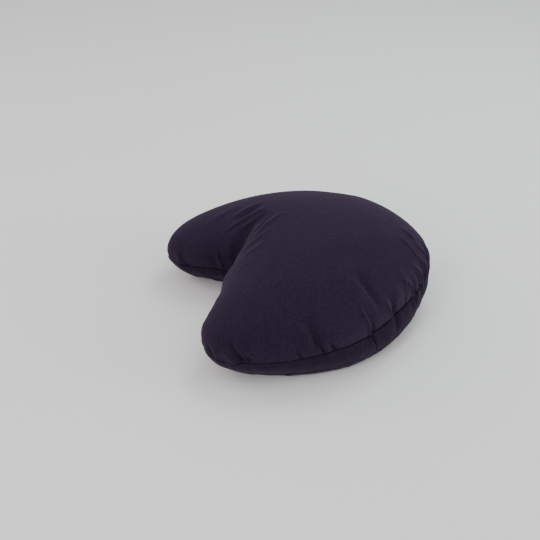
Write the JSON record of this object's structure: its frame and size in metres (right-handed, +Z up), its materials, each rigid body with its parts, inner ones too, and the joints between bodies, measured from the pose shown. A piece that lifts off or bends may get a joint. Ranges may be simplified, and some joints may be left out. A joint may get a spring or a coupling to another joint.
{
  "type": "crescent zafu meditation cushion",
  "caption": "Crescent-shaped filled meditation cushion with a domed top, a heel notch between rounded lobes, a sewn side band with an upright join, and a flat base.",
  "frame": {"origin": "under the middle of the cushion's bounding box, on the surface it stands on", "axes": "+X from lobe to lobe, -Y out of the heel notch, +Y to the round back, +Z up"},
  "size_m": [0.4528, 0.4238, 0.1522],
  "materials": {
    "aubergine_cotton": "matt dark aubergine cotton",
    "aubergine_band": "matt dark aubergine cotton of the side band"
  },
  "bodies": {
    "root": {"top_panel": "aubergine_cotton", "side_band": "aubergine_band", "bottom_panel": "aubergine_cotton"}
  },
  "joints": []
}
